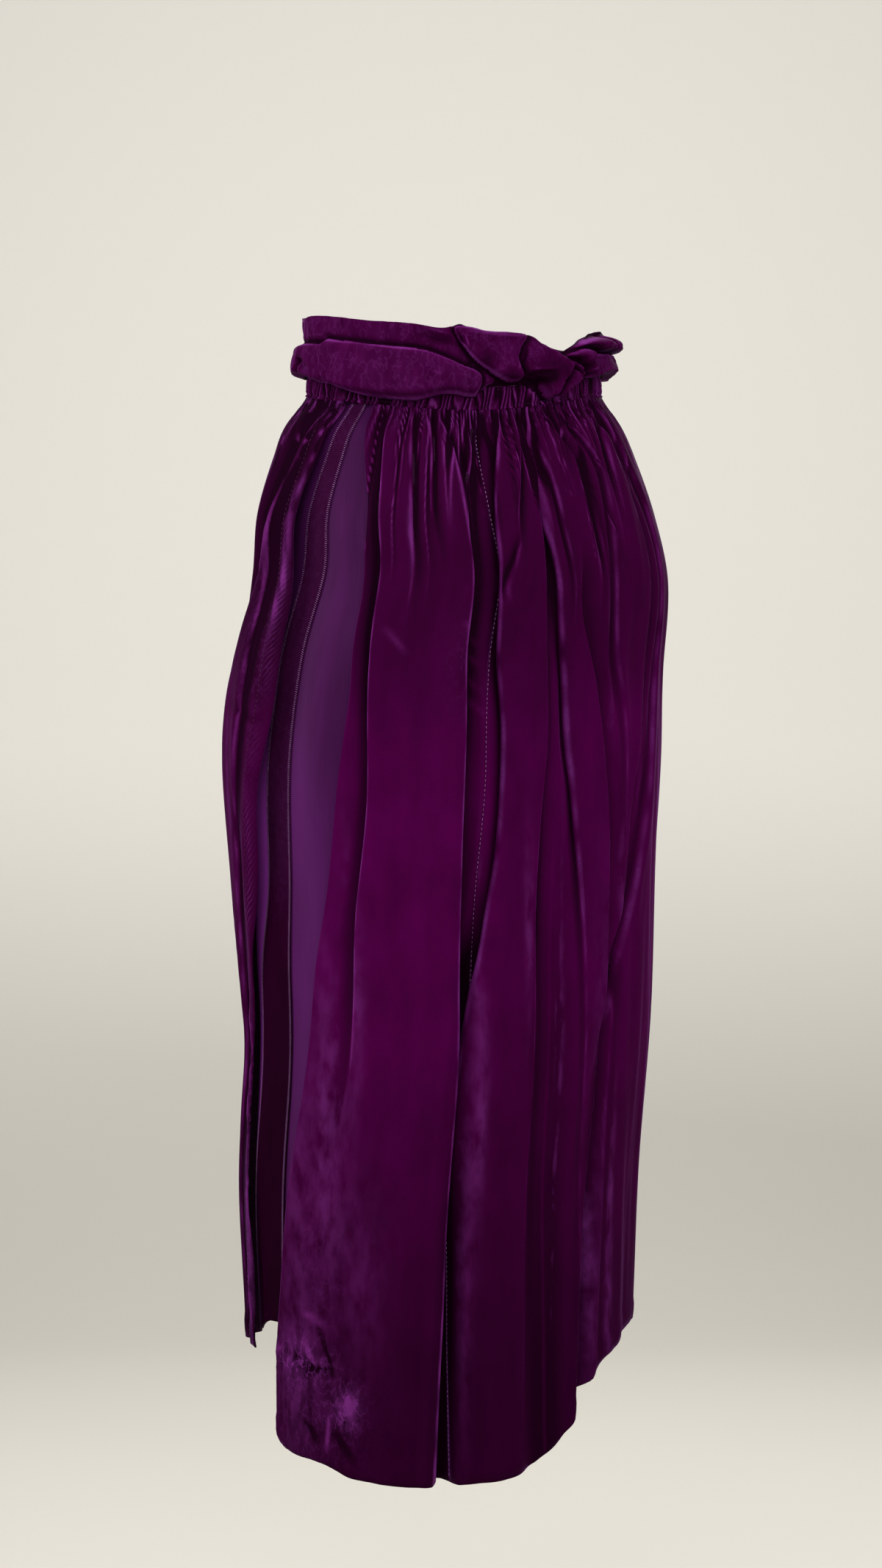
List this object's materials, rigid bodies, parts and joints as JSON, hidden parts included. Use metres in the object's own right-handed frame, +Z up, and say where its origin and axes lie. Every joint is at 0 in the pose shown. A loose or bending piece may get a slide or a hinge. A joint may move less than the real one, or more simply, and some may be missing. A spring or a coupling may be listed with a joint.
{
  "type": "draped velvet midi skirt",
  "caption": "Worn-form velvet midi skirt with a shirred waist and standing frill, a left side slit over a satin underlap, and a hem cut lower at the back.",
  "frame": {"origin": "middle of the waist casing, where the wearer's waist holds the skirt", "axes": "+Z up along the body, -Y towards the skirt's front, +X towards the wearer's left"},
  "size_m": [0.356, 0.2557, 0.8475],
  "materials": {
    "velvet": "deep purple silk velvet with a short pile that catches light on its folds",
    "dark_velvet": "the same velvet in the shade of the slit",
    "satin": "smooth lavender-purple satin with a soft gloss"
  },
  "bodies": {
    "root": {"left_back_panel": "velvet", "right_back_panel": "velvet", "front_panel": "velvet", "waist_casing": "velvet", "waist_frill": "velvet", "underlap_panel": "satin", "underlap_band": "dark_velvet"}
  },
  "joints": []
}
